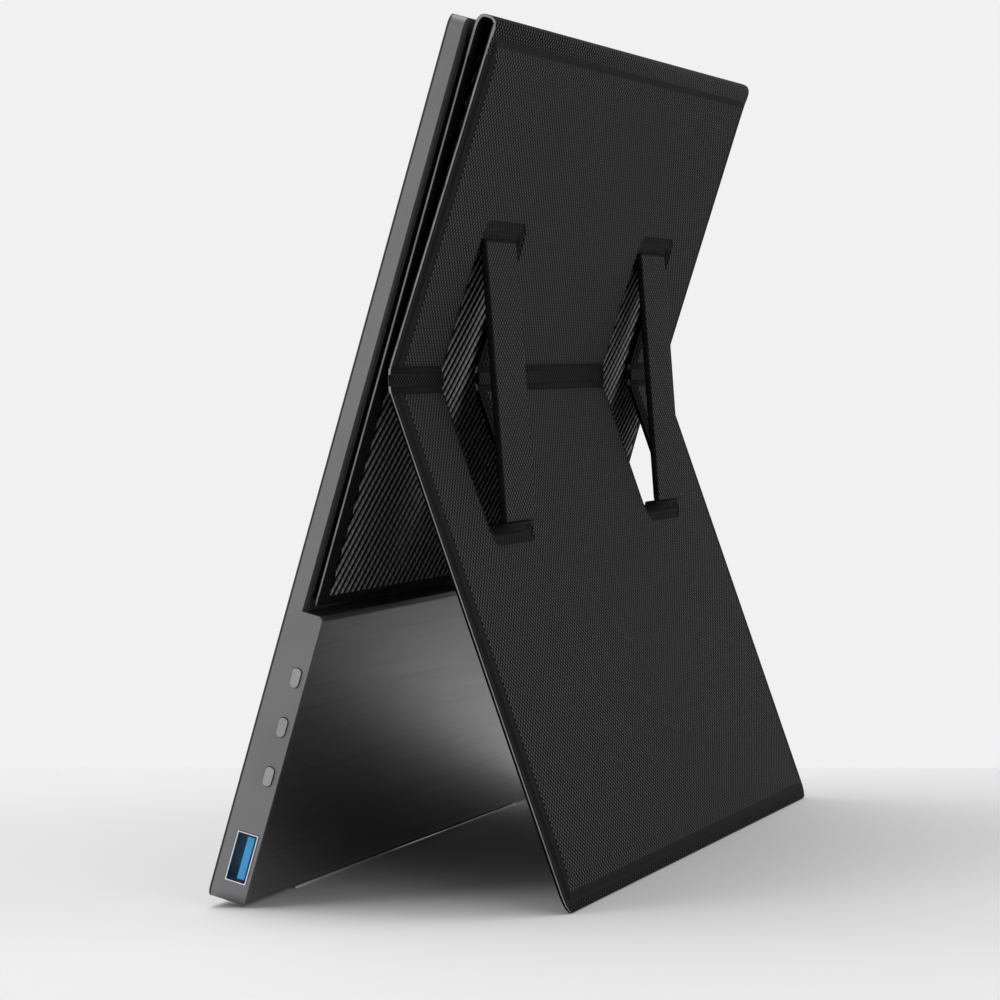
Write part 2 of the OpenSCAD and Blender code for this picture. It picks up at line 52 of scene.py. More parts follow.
# Sizes of the cover, in millimetres, the same as in the CAD
LEAN = math.radians(15.9)
UPPER_LEAN = math.radians(17.4)
CREASE_LEAN = math.radians(-0.9)
LOWER_LEAN = math.radians(-19.3175)
STRUT_LEAN = math.radians(-4.268)
FLAP_LEAN = math.radians(95.972)
MID_Y = 37.1512
CHIN_T = 9.9
LIFT = 0.3
UPPER_FOLD = (28.0009, 223.178)
CREASE_TOP = (0.0779, 135.831)
CREASE_LOW = (0.1533, 131.032)
STRUT_FOLD = (11.1051, 169.263)
FLAP_FOLD = (13.1531, 95.5336)
HALF = 175.1
UPPER_LEN = 91.7
LOWER_LEN = 138.7
CREASE_W = 4.8
STRUT_X = 101.0
WINDOW = 40.0
WINDOW_UP = 35.2
WINDOW_DOWN = 37.8
STRUT_W = 35.0
STRUT_LEN = 73.55
# Heights over a panel's fold: its woven face, its skin, the middle of its edge and its flat border
FACE_N = 0.8
INNER_N = -0.95
EDGE_MID = -0.525
BORDER_N = -0.1


def sheet(origin, lean, shift=0.0):
    """Points of a leaning sheet: x across, n outwards from it, s up along it."""
    c, s_ = math.cos(lean), math.sin(lean)

    def at(x, n, s):
        n = n + shift
        return Vector((x, origin[0] + s * s_ + n * c, origin[1] + s * c - n * s_)) * MM
    return at


body_at = sheet((-MID_Y, LIFT), LEAN, -CHIN_T)
upper_at = sheet(UPPER_FOLD, UPPER_LEAN)
crease_at = sheet(CREASE_TOP, CREASE_LEAN)
lower_at = sheet(CREASE_LOW, LOWER_LEAN, -EDGE_MID)
strut_at = sheet(STRUT_FOLD, STRUT_LEAN)
flap_at = sheet(FLAP_FOLD, FLAP_LEAN)


# Materials

class Nodes:
    """A small helper to write a material's node tree."""

    def __init__(self, name):
        self.mat = bpy.data.materials.new(name)
        self.mat.use_nodes = True
        self.tree = self.mat.node_tree
        self.shader = self.tree.nodes["Principled BSDF"]

    def new(self, kind, **values):
        node = self.tree.nodes.new(kind)
        for key, value in values.items():
            setattr(node, key, value)
        return node

    def link(self, a, b):
        self.tree.links.new(a, b)

    def math(self, operation, a, b=None):
        node = self.new("ShaderNodeMath", operation=operation)
        for i, v in enumerate((a, b)):
            if v is None:
                continue
            if isinstance(v, (int, float)):
                node.inputs[i].default_value = v
            else:
                self.link(v, node.inputs[i])
        return node.outputs[0]

    def uv(self):
        node = self.new("ShaderNodeUVMap", uv_map="UVMap")
        split = self.new("ShaderNodeSeparateXYZ")
        self.link(node.outputs[0], split.inputs[0])
        return split.outputs[0], split.outputs[1]

    def wave(self, value, pitch):
        """A smooth wave between 0 and 1 along value, in millimetres."""
        turn = self.math("MULTIPLY", value, 2 * math.pi / pitch)
        half = self.math("MULTIPLY", self.math("SINE", turn), 0.5)
        return self.math("ADD", half, 0.5)

    def noise(self, scale, detail=3.0, stretch=(1, 1, 1)):
        coords = self.new("ShaderNodeTexCoord")
        mapping = self.new("ShaderNodeMapping")
        mapping.inputs["Scale"].default_value = stretch
        self.link(coords.outputs["Object"], mapping.inputs["Vector"])
        node = self.new("ShaderNodeTexNoise")
        node.inputs["Scale"].default_value = scale
        node.inputs["Detail"].default_value = detail
        self.link(mapping.outputs[0], node.inputs["Vector"])
        return node.outputs["Fac"]

    def ramp(self, value, stops):
        node = self.new("ShaderNodeValToRGB")
        ramp = node.color_ramp
        while len(ramp.elements) < len(stops):
            ramp.elements.new(0.5)
        for element, (place, colour) in zip(ramp.elements, stops):
            element.position = place
            element.color = (*colour, 1.0)
        self.link(value, node.inputs[0])
        return node.outputs[0]

    def bump(self, height, distance, strength=1.0, rest=None):
        node = self.new("ShaderNodeBump")
        node.inputs["Strength"].default_value = strength
        node.inputs["Distance"].default_value = distance * MM
        self.link(height, node.inputs["Height"])
        if rest is not None:
            self.link(rest, node.inputs["Normal"])
        return node.outputs[0]

    def bevel(self, radius):
        node = self.new("ShaderNodeBevel", samples=6)
        node.inputs["Radius"].default_value = radius * MM
        return node.outputs[0]

    def normal(self, value):
        self.link(value, self.shader.inputs["Normal"])

    def set(self, **values):
        names = {"colour": "Base Color", "rough": "Roughness", "metal": "Metallic",
                 "spec": "Specular IOR Level", "sheen": "Sheen Weight", "sheen_rough": "Sheen Roughness",
                 "coat": "Coat Weight", "coat_rough": "Coat Roughness", "aniso": "Anisotropic",
                 "aniso_turn": "Anisotropic Rotation", "through": "Transmission Weight"}
        for key, value in values.items():
            socket = self.shader.inputs[names[key]]
            if key == "colour" and not hasattr(value, "node"):
                socket.default_value = (*value, 1.0)
            elif hasattr(value, "node"):
                self.link(value, socket)
            else:
                socket.default_value = value
        return self.mat


def woven(name, dark, light, depth, gloss):
    """Fine dark cloth: rows of short raised threads, each row half a step along from the last. The
    colour follows the relief: thread tops painted lighter as a painted highlight, hollows nearly black
    as painted shade.
    """
    m = Nodes(name)
    u, v = m.uv()
    rows = m.math("SINE", m.math("MULTIPLY", v, 2 * math.pi / ROW_PITCH))
    threads = m.math("SINE", m.math("MULTIPLY", u, 2 * math.pi / THREAD_PITCH))
    weave = m.math("ADD", m.math("MULTIPLY", m.math("MULTIPLY", rows, threads), 0.5), 0.5)
    height = m.math("ADD", weave, m.math("MULTIPLY", m.noise(1400.0, 2.0), 0.2))
    m.normal(m.bump(height, depth))
    # Painted light and shade: thread tops lighter, hollows between them nearly black
    colour = m.ramp(height, [(0.60, dark), (0.95, light)])
    return m.set(colour=colour, rough=0.75, spec=m.math("MULTIPLY", weave, gloss))


def smooth_cloth(name, colour, rough=0.6, spec=0.4):
    """Pressed cloth: a tight grain with little relief."""
    m = Nodes(name)
    u, v = m.uv()
    grain = m.math("ADD", m.wave(u, 0.9), m.wave(v, 0.9))
    height = m.math("ADD", grain, m.noise(900.0, 3.0))
    m.normal(m.bump(height, 0.03))
    darker, lighter = [c * 0.8 for c in colour], [c * 1.2 for c in colour]
    tone = m.ramp(m.noise(220.0, 4.0), [(0.3, darker), (0.7, lighter)])
    return m.set(colour=tone, rough=rough, spec=spec)


def ribbed_cloth(name):
    """Coated black cloth of the ribs: fine threads across each rib. Each rib's crown is painted light
    grey, a painted highlight, and the gaps between the ribs nearly black, painted shade.
    """
    m = Nodes(name)
    u, v = m.uv()
    across = m.math("ADD", m.math("MULTIPLY", u, 0.7071), m.math("MULTIPLY", v, 0.7071))
    along = m.math("ADD", m.math("MULTIPLY", u, -0.7071), m.math("MULTIPLY", v, 0.7071))
    height = m.math("ADD", m.wave(along, 1.1), m.noise(1200.0, 2.0))
    m.normal(m.bump(height, 0.05))
    # Painted light: a highlight painted on each rib's crown and shade in the gaps; the same mask raises
    # the gloss
    share = m.math("FLOORED_MODULO", m.math("DIVIDE", across, RIB_PITCH), 1.0)
    crown_highlight = m.ramp(share, [(0.08, (0, 0, 0)), (0.20, (1, 1, 1)), (0.50, (1, 1, 1)), (0.66, (0, 0, 0))])
    beads = m.math("ADD", m.math("MULTIPLY", m.wave(along, 2.3), 0.55), 0.45)
    lit = m.math("MULTIPLY", crown_highlight, beads)
    tone = m.ramp(lit, [(0.0, (0.0008, 0.0008, 0.0008)), (1.0, (0.360, 0.360, 0.365))])
    rough = m.math("ADD", m.math("MULTIPLY", m.noise(500.0), 0.12), 0.24)
    return m.set(colour=tone, rough=rough, spec=m.math("MINIMUM", m.math("MULTIPLY", lit, 1.3), 1.0))


def blasted_metal():
    m = Nodes("body_metal_look")
    grit = m.noise(2600.0, 3.0)
    wear = m.noise(40.0, 4.0)
    m.normal(m.bump(grit, 0.03, 0.6, m.bevel(0.18)))
    tone = m.ramp(wear, [(0.3, (0.195, 0.195, 0.199)), (0.7, (0.228, 0.228, 0.233))])
    rough = m.math("ADD", m.math("MULTIPLY", grit, 0.12), 0.42)
    return m.set(colour=tone, rough=rough, metal=0.85)


def brushed_metal():
    m = Nodes("brushed_back_look")
    fine = m.noise(2600.0, 2.0, (0.006, 1.0, 1.0))
    coarse = m.noise(420.0, 4.0, (0.012, 1.0, 1.0))
    mixed = m.math("ADD", m.math("MULTIPLY", fine, 0.6), m.math("MULTIPLY", coarse, 0.4))
    m.normal(m.bump(mixed, 0.03, 0.5, m.bevel(0.15)))
    tone = m.ramp(mixed, [(0.35, (0.100, 0.100, 0.102)), (0.65, (0.210, 0.210, 0.214))])
    rough = m.math("ADD", m.math("MULTIPLY", mixed, 0.22), 0.24)
    tangent = m.new("ShaderNodeTangent", direction_type="RADIAL", axis="X")
    m.link(tangent.outputs[0], m.shader.inputs["Tangent"])
    return m.set(colour=tone, rough=rough, metal=0.9, aniso=0.6)


def plain(name, colour, rough, metal=0.0, grain=600.0, depth=0.02, edge=0.1, **more):
    """Any other material: a faint grain, a little wear and a soft edge."""
    m = Nodes(name)
    speck = m.noise(grain, 3.0)
    m.normal(m.bump(speck, depth, 0.5, m.bevel(edge)))
    darker, lighter = [c * 0.88 for c in colour], [min(1.0, c * 1.1) for c in colour]
    tone = m.ramp(m.noise(60.0, 4.0), [(0.3, darker), (0.7, lighter)])
    rough_map = m.math("ADD", m.math("MULTIPLY", speck, 0.1), max(rough - 0.05, 0.02))
    return m.set(colour=tone, rough=rough_map, metal=metal, **more)


RIB_PITCH = 3.95
ROW_PITCH = 1.6
THREAD_PITCH = 2.9
CLOTH = woven("woven_lining_look", (0.0008, 0.0008, 0.0010), (0.074, 0.074, 0.076), 0.30, 0.19)
# A darker copy of the woven cloth: painted shade beside the windows, along the folds and on the crease
SHADED_CLOTH = woven("woven_shaded_look", (0.0004, 0.0004, 0.0005), (0.020, 0.020, 0.021), 0.30, 0.12)
PRESSED = smooth_cloth("pressed_cloth_look", (0.005, 0.005, 0.0055), 0.8, 0.10)
RIBS = ribbed_cloth("ribbed_skin_look")
# Painted highlight: the light grey on the rolled edges of the black cloth, on the panels' side edges and
# the strips' round edges
EDGE = smooth_cloth("edge_highlight_look", (0.240, 0.240, 0.245), 0.45)
LOOKS = {
    "body_metal": blasted_metal(),
    "brushed_back": brushed_metal(),
    "black_glass": plain("black_glass_look", (0.006, 0.006, 0.007), 0.07, spec=0.5, grain=90.0,
                         depth=0.002, edge=0.2),
    "panel_glass": plain("panel_glass_look", (0.012, 0.012, 0.015), 0.12, grain=90.0, depth=0.002),
    "guide_plastic": plain("guide_plastic_look", (0.85, 0.86, 0.88), 0.1, through=0.4),
    "mirror_film": plain("mirror_film_look", (0.8, 0.8, 0.8), 0.25),
    "circuit_board": plain("circuit_board_look", (0.015, 0.10, 0.045), 0.35, depth=0.05),
    "steel": plain("steel_look", (0.6, 0.6, 0.62), 0.3, 1.0),
    "magnet": plain("magnet_look", (0.7, 0.7, 0.71), 0.2, 1.0),
    "flex": plain("flex_look", (0.42, 0.22, 0.06), 0.35),
    "switch_plastic": plain("switch_plastic_look", (0.55, 0.55, 0.53), 0.45),
    "button_metal": plain("button_metal_look", (0.38, 0.38, 0.385), 0.28, 0.85, edge=0.35),
    "port_metal": plain("port_metal_look", (0.80, 0.80, 0.82), 0.16, 1.0, grain=300.0, edge=0.08),
    "blue_plastic": plain("blue_plastic_look", (0.015, 0.300, 0.64), 0.22, coat=0.5),
    "contact_metal": plain("contact_metal_look", (0.78, 0.55, 0.22), 0.25, 1.0),
    "black_plastic": plain("black_plastic_look", (0.015, 0.015, 0.016), 0.45),
    # The rubber is black; its grey is a painted reflection of the floor along the foot
    "foot_rubber": plain("foot_rubber_reflection_look", (0.30, 0.30, 0.31), 0.22, grain=1500.0, depth=0.05),
    "tape": plain("tape_look", (0.03, 0.03, 0.03), 0.6),
    "board": plain("board_look", (0.10, 0.08, 0.06), 0.85, grain=1800.0, depth=0.06),
    "ribbed_skin": RIBS,
    "spine_skin": PRESSED,
    "woven_lining": CLOTH,
    # Near black: the flap cloth's own black, darkened further as painted shade under the struts' feet
    # and in the crease
    "flap_fabric": smooth_cloth("flap_fabric_shaded_look", (0.003, 0.003, 0.0035), 0.9, 0.15),
}
for part in frame["record"]["subparts"]:
    node = frame["nodes"].get(part["node"])
    if node is not None:
        node.data.materials.clear()
        node.data.materials.append(LOOKS[part["material_slot"]])


# Meshes

def make(name, verts, faces, mats, slots=None, uvs=None, smooth=True):
    """A mesh object; slots gives each face's material, uvs each vertex's place on the cloth in mm."""
    mesh = bpy.data.meshes.new(name)
    mesh.from_pydata([tuple(v) for v in verts], [], faces)
    for mat in mats:
        mesh.materials.append(mat)
    if slots:
        for face, index in zip(mesh.polygons, slots):
            face.material_index = index
    layer = mesh.uv_layers.new(name="UVMap")
    if uvs:
        for loop in mesh.loops:
            layer.data[loop.index].uv = uvs[loop.vertex_index]
    for face in mesh.polygons:
        face.use_smooth = smooth
    mesh.validate()
    mesh.update()
    obj = bpy.data.objects.new(name, mesh)
    bpy.context.scene.collection.objects.link(obj)
    return obj


def corner_loop(points, insets, radii, seg=5):
    """An outline of right angles pulled in, edge i by insets[i], with corner i rounded."""
    out = []
    count = len(points)
    for i, (px, ps) in enumerate(points):
        ax, as_ = points[i - 1]
        bx, bs = points[(i + 1) % count]
        d1 = Vector((px - ax, ps - as_)).normalized()
        d2 = Vector((bx - px, bs - ps)).normalized()
        n1, n2 = Vector((-d1.y, d1.x)), Vector((-d2.y, d2.x))
        corner = Vector((px, ps)) + n1 * insets[i - 1] + n2 * insets[i]
        convex = d1.x * d2.y - d1.y * d2.x > 0
        pulled = 0.5 * (insets[i - 1] + insets[i])
        r = max(radii[i] - pulled, 0.05) if convex else radii[i] + pulled
        side = 1.0 if convex else -1.0
        centre = corner - d1 * r + n1 * r * side
        for k in range(seg + 1):
            t = 0.5 * math.pi * k / seg
            out.append(centre - n1 * (r * side * math.cos(t)) + d1 * (r * math.sin(t)))
    return out


# Material slots of bands 3 to 5 along an ordinary, a calm and a wide edge
BAND_SLOTS = {3: (3, 1, 3), 4: (1, 2, 1), 5: (3, 1, 0)}


def pressed_panel(name, at, points, widths, radii, profile, mats, calm=(), wide=(), seg=5):
    """A sheet panel as a stack of outlines. profile holds (share of the border, extra inset, n,
    material of the band that follows); the first and last outlines are filled. Band 3 is
    smooth along the calm edges and woven along the others, in the darker copy of the weave
    that paints shade, and band 4 is a bright edge, a painted highlight, along the calm edges
    only. Band 5 is as band 3, but plain weave without the painted shade along the wide edges."""
    verts, uvs, faces, slots = [], [], [], []
    size = 0
    for share, extra, n, slot in profile:
        loop = corner_loop(points, [share * w + extra for w in widths], radii, seg)
        size = len(loop)
        for p in loop:
            verts.append(at(p.x, n, p.y))
            uvs.append((p.x, p.y))
    for k in range(len(profile) - 1):
        for i in range(size):
            j = (i + 1) % size
            faces.append((k * size + i, k * size + j, (k + 1) * size + j, (k + 1) * size + i))
            edge, place = divmod(i, seg + 1)
            before = (edge - 1) % len(points)
            calm_here = edge in calm or (place < seg and before in calm)
            wide_here = edge in wide or (place < seg and before in wide)
            edge_kind = 1 if calm_here else 2 if wide_here else 0
            band = profile[k][3]
            slots.append(BAND_SLOTS[band][edge_kind] if band in BAND_SLOTS else band)
    faces.append(tuple(reversed(range(size))))
    slots.append(profile[0][3])
    top = (len(profile) - 1) * size
    faces.append(tuple(range(top, top + size)))
    slots.append(profile[-1][3])
    return make(name, verts, faces, mats, slots, uvs)


# One section through a panel: the inner face, the folded edge, the flat border, the raised centre
def panel_profile():
    return [
        (0.0, 2.5, INNER_N, 1),
        (0.0, 2.2, INNER_N - 0.32, 1),
        (0.0, 2.0, INNER_N - 0.40, 1),
        (0.0, 0.9, INNER_N - 0.38, 1),
        (0.0, 0.3, INNER_N - 0.20, 1),
        (0.0, 0.06, INNER_N + 0.05, 1),
        (0.0, 0.0, INNER_N + 0.20, 4),
        (0.0, 0.0, BORDER_N - 0.20, 1),
        (0.0, 0.05, BORDER_N - 0.10, 1),
        (0.0, 0.22, BORDER_N - 0.01, 3),
        (0.0, 0.6, BORDER_N, 3),
        (0.24, 0.0, BORDER_N, 1),
        (0.29, 0.0, BORDER_N - 0.10, 1),
        (0.35, 0.0, BORDER_N, 1),
        (0.44, 0.0, 0.38, 1),
        (0.54, 0.0, 0.47, 5),
        (0.82, 0.0, 0.47, 5),
        (0.90, 0.0, FACE_N - 0.08, 0),
        (1.0, 0.0, FACE_N, 0),
        (1.0, 1.5, FACE_N, 0),
    ]


def windowed_outline(low, high, window_end, windows_low):
    """A panel's outline, anticlockwise, with two windows open at its low or its high edge."""
    wl, wr = STRUT_X - WINDOW / 2, STRUT_X + WINDOW / 2
    if windows_low:
        return [(-HALF, low), (-wr, low), (-wr, window_end), (-wl, window_end), (-wl, low), (wl, low),
                (wl, window_end), (wr, window_end), (wr, low), (HALF, low), (HALF, high), (-HALF, high)]
    return [(-HALF, low), (HALF, low), (HALF, high), (wr, high), (wr, window_end), (wl, window_end),
            (wl, high), (-wl, high), (-wl, window_end), (-wr, window_end), (-wr, high), (-HALF, high)]


# Gap at a fold, widths of the pressed borders and radii of the corners
GAP = 0.75
SIDE_W, TOP_W, FOLD_W, EDGE_W = 9.5, 10.0, 1.0, 6.0
FOLD_R, WINDOW_R, FOOT_R = 0.3, 0.8, 5.0
window_widths = [EDGE_W] * 3
window_radii = [FOLD_R, WINDOW_R, WINDOW_R, FOLD_R]
upper_points = windowed_outline(GAP - UPPER_LEN, -GAP, WINDOW_UP - UPPER_LEN + GAP, True)
upper_widths = [FOLD_W, *window_widths, FOLD_W, *window_widths, FOLD_W, SIDE_W, TOP_W, SIDE_W]
upper_radii = [FOLD_R, *window_radii, *window_radii, FOLD_R, FOLD_R, FOLD_R]
# The darker woven copy paints shade along the window and fold edges; EDGE paints a highlight on the side
# edges
upper = pressed_panel("upper_cloth", upper_at, upper_points, upper_widths, upper_radii,
                      panel_profile(), [CLOTH, PRESSED, EDGE, SHADED_CLOTH], calm=(9, 11), wide=(10,))
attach(upper, "upper_panel")
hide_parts("upper_lining")

lower_points = windowed_outline(-LOWER_LEN, -GAP, -WINDOW_DOWN - GAP, False)
lower_widths = [SIDE_W, SIDE_W, FOLD_W, *window_widths, FOLD_W, *window_widths, FOLD_W, SIDE_W]
lower_radii = [FOOT_R, FOOT_R, FOLD_R, *window_radii, *window_radii, FOLD_R]
lower = pressed_panel("lower_cloth", lower_at, lower_points, lower_widths, lower_radii,
                      panel_profile(), [CLOTH, PRESSED, EDGE, SHADED_CLOTH], calm=(1, 11), wide=(0,))
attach(lower, "lower_panel")
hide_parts("lower_lining")


# The ribs: raised diagonal bars on the skin side, made as long strips cut to rectangles.
# The section gives (share of the pitch, height in mm).
RIB_SECTION = [(0.0, 0.0), (0.10, 0.0), (0.17, 0.28), (0.28, 0.50), (0.40, 0.58), (0.52, 0.50),
               (0.63, 0.28), (0.70, 0.0)]


def cut_side(poly, axis, limit, keep_low):
    """Clips a polygon of (x, s, height) at a limit on one axis."""
    out = []
    for i, a in enumerate(poly):
        b = poly[(i + 1) % len(poly)]
        a_in = a[axis] <= limit if keep_low else a[axis] >= limit
        b_in = b[axis] <= limit if keep_low else b[axis] >= limit
        if a_in:
            out.append(a)
        if a_in != b_in:
            t = (limit - a[axis]) / (b[axis] - a[axis])
            out.append(tuple(a[k] + t * (b[k] - a[k]) for k in range(3)))
    return out


def ribs(name, at, areas, base, body, turned=1.0):
    """Diagonal ribs over some rectangles (x0, s0, x1, s1), standing off the face at n = base."""
    cut = [(place * RIB_PITCH, height) for place, height in RIB_SECTION]
    root = math.sqrt(0.5)
    verts, uvs, faces, known = [], [], [], {}

    def vertex(p):
        key = (round(p[0], 3), round(p[1], 3), round(p[2], 3))
        if key not in known:
            known[key] = len(verts)
            verts.append(at(p[0], base - p[2] * turned, p[1]))
            uvs.append((p[0], p[1]))
        return known[key]

    for x0, s0, x1, s1 in areas:
        corners = [root * (x + s) for x in (x0, x1) for s in (s0, s1)]
        first, last = math.floor(min(corners) / RIB_PITCH), math.ceil(max(corners) / RIB_PITCH)
        reach = (x1 - x0) + (s1 - s0) + abs(x0) + abs(s0) + abs(x1) + abs(s1)
        limits = ((0, x1, True), (0, x0, False), (1, s1, True), (1, s0, False))
        for i in range(first, last + 1):
            lines = [(i * RIB_PITCH + q, h) for q, h in cut] + [((i + 1) * RIB_PITCH, 0.0)]
            for (qa, ha), (qb, hb) in zip(lines, lines[1:]):
                strip = []
                for q, h, far in ((qa, ha, -reach), (qb, hb, -reach), (qb, hb, reach), (qa, ha, reach)):
                    strip.append((root * (q - far), root * (q + far), h))
                for axis, limit, keep_low in limits:
                    strip = cut_side(strip, axis, limit, keep_low)
                    if not strip:
                        break
                if len(strip) > 2:
                    ids = [vertex(p) for p in strip]
                    ids = [a for k, a in enumerate(ids) if a != ids[k - 1]]
                    if len(set(ids)) > 2:
                        faces.append(tuple(dict.fromkeys(ids)))
    obj = make(name, verts, faces, [RIBS], None, uvs)
    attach(obj, body)


WL, WR = STRUT_X - WINDOW / 2, STRUT_X + WINDOW / 2
HEM, BACK_HEM, TOP_HEM, FOOT_HEM = 2.3, 7.6, 9.0, 3.0
BACK_V = 6.9
BACK_LOW, BACK_HIGH = 79.0, 231.45
ribs("back_ribs", body_at, [(-HALF + BACK_HEM, BACK_LOW + 2.0, HALF - BACK_HEM, BACK_HIGH - TOP_HEM)],
     BACK_V, "display", -1.0)

# Both panels have five fields: three beside the windows, over the full height, and two at their ends
columns = [(-HALF + HEM, -WR - HEM), (-WR - HEM, -WL + HEM), (-WL + HEM, WL - HEM), (WL - HEM, WR + HEM),
           (WR + HEM, HALF - HEM)]
low, high = GAP - UPPER_LEN + HEM, -GAP - TOP_HEM
window_end = WINDOW_UP - UPPER_LEN + GAP + HEM
ribs("upper_ribs", upper_at, [(x0, window_end if i % 2 else low, x1, high)
                              for i, (x0, x1) in enumerate(columns)], INNER_N, "upper_panel")
low, high = -LOWER_LEN + FOOT_HEM, -GAP - HEM
window_end = -WINDOW_DOWN - GAP - HEM
ribs("lower_ribs", lower_at, [(x0, low, x1, window_end if i % 2 else high)
                              for i, (x0, x1) in enumerate(columns)], INNER_N, "lower_panel")

# The fixed panel on the back of the display
panel_low, panel_high = BACK_LOW - 0.8, BACK_HIGH - 4.6
back_points = [(-HALF, panel_low), (HALF, panel_low), (HALF, panel_high), (-HALF, panel_high)]
back_profile = [
    (1.2, 0.2, 4.22, 1), (1.2, 0.0, 4.4, 1), (1.1, 0.0, 5.7, 1), (1.0, 0.0, 5.88, 1),
    (0.0, 0.5, 5.9, 1), (0.0, 0.1, 6.0, 1), (0.0, 0.0, 6.1, 4), (0.0, 0.0, 6.5, 1),
    (0.0, 0.1, 6.6, 1), (0.0, 0.5, 6.7, 1), (1.0, 0.0, 6.7, 1), (1.3, 0.0, 7.1, 1),
    (1.6, 0.0, 7.25, 1), (1.9, 0.0, 7.2, 1), (2.2, 0.0, BACK_V, 1), (2.2, 0.8, BACK_V, 1)]
back = pressed_panel("back_cloth", body_at, back_points, [1.4, 3.6, 1.4, 3.6], [1.5, 1.5, 0.3, 0.3],
                     back_profile, [CLOTH, PRESSED, EDGE], calm=(1, 3))
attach(back, "display")
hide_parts("back_skin")


# The dark seal between the front glass and the body, seen as a line along the front edge
BODY_HALF, BODY_H, BODY_R = 178.5, 231.0, 3.0
SEAL_OUT, SEAL_FRONT, SEAL_BACK = 0.04, 0.05, 0.5
seal_loops = []
for out, v in ((0.0, SEAL_FRONT), (SEAL_OUT, SEAL_FRONT), (SEAL_OUT, SEAL_BACK), (0.0, SEAL_BACK)):
    side, top = BODY_HALF + out, BODY_H + out
    outline = corner_loop([(-side, -out), (side, -out), (side, top), (-side, top)],
                          [0.0] * 4, [BODY_R + out] * 4, 8)
    seal_loops.append([body_at(q.x, v, q.y) for q in outline])
seal_size = len(seal_loops[0])
seal_faces = []
for k in range(4):
    a, b = k * seal_size, (k + 1) % 4 * seal_size
    for i in range(seal_size):
        j = (i + 1) % seal_size
        seal_faces.append((a + i, a + j, b + j, b + i))
seal = make("front_seal", [p for loop in seal_loops for p in loop], seal_faces,
            [LOOKS["black_plastic"]], smooth=False)
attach(seal, "display")


# The rounded lip of the rubber foot, along the lower back edge; its near white colour is a painted
# highlight on the black rubber lip
LIP_R, LIP_Y, LIP_Z, LIP_HALF = 0.34, 0.08, 0.36, 128.5
LIP_SIDES = 12
lip_turns = [2 * math.pi * k / LIP_SIDES for k in range(LIP_SIDES)]
lip_ring = [(LIP_R * math.cos(t), LIP_R * math.sin(t)) for t in lip_turns]
lip_stops = ((-LIP_HALF, 0.4), (0.2 - LIP_HALF, 1.0), (LIP_HALF - 0.2, 1.0), (LIP_HALF, 0.4))
lip_verts = [Vector((x, LIP_Y - MID_Y + y * r, LIP_Z + z * r)) * MM
             for x, r in lip_stops for y, z in lip_ring]
lip_faces = []
for k in range(len(lip_stops) - 1):
    a, b = k * LIP_SIDES, (k + 1) * LIP_SIDES
    for i in range(LIP_SIDES):
        j = (i + 1) % LIP_SIDES
        lip_faces.append((a + i, a + j, b + j, b + i))
lip_faces.append(tuple(range(LIP_SIDES - 1, -1, -1)))
lip_faces.append(tuple(range(3 * LIP_SIDES, 4 * LIP_SIDES)))
lip_highlight_look = plain("foot_lip_look", (0.85, 0.85, 0.86), 0.20, grain=1500.0, depth=0.01, spec=1.0, coat=1.0)
lip = make("foot_lip", lip_verts, lip_faces, [lip_highlight_look])
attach(lip, "display")


# Soft strips: a section in (n, s) swept across the width, with round edges
def strip(name, path, thick, spans, mats, edge_slot=1, face_slot=0):
    """path is a list of points (y, z) in mm, at the middle of the sheet; spans are (x0, x1)."""
    verts, uvs, faces, slots = [], [], [], []
    normals, length = [], [0.0]
    for i, p in enumerate(path):
        a, b = path[max(i - 1, 0)], path[min(i + 1, len(path) - 1)]
        d = Vector((b[0] - a[0], b[1] - a[1])).normalized()
        normals.append(Vector((d.y, -d.x)))
        if i:
            length.append(length[-1] + (Vector(p) - Vector(path[i - 1])).length)
    ring = [(-0.5, 0.0), (-0.5, 0.7), (-0.35, 0.93), (0.0, 1.0), (0.35, 0.93), (0.5, 0.7), (0.5, 0.0)]
    for x0, x1 in spans:
        for side in (-1, 1):
            start = len(verts)
            x_end = x0 if side < 0 else x1
            for i, p in enumerate(path):
                for h, out in ring:
                    x = x_end + side * (out - 1.0) * 0.3 if out else (x0 + x1) / 2
                    q = Vector(p) + normals[i] * h * thick
                    verts.append(Vector((x, q.x, q.y)) * MM)
                    uvs.append((x, -length[i]))
            size = len(ring)
            for i in range(len(path) - 1):
                for k in range(size - 1):
                    a = start + i * size + k
                    quad = (a, a + 1, a + size + 1, a + size)
                    faces.append(quad if side < 0 else tuple(reversed(quad)))
                    slots.append(edge_slot if k in (2, 3) else face_slot)
            for row in (0, len(path) - 1):
                cap = tuple(start + row * size + k for k in range(size))
                faces.append(cap if (row == 0) != (side < 0) else tuple(reversed(cap)))
                slots.append(edge_slot)
    return make(name, verts, faces, mats, slots, uvs)


def yz(at, n, s):
    p = at(0.0, n, s)
    return (p.y / MM, p.z / MM)


def curve(points, steps):
    """A smooth path through points, as a chain of cubic pieces."""
    out = []
    for i in range(len(points) - 1):
        p0, p1 = Vector(points[max(i - 1, 0)]), Vector(points[i])
        p2, p3 = Vector(points[i + 1]), Vector(points[min(i + 2, len(points) - 1)])
        for k in range(steps):
            t = k / steps
            q = 0.5 * ((2 * p1) + (p2 - p0) * t + (2 * p0 - 5 * p1 + 4 * p2 - p3) * t * t
                       + (3 * p1 - p0 - 3 * p2 + p3) * t ** 3)
            out.append((q.x, q.y))
    out.append(tuple(points[-1]))
    return out


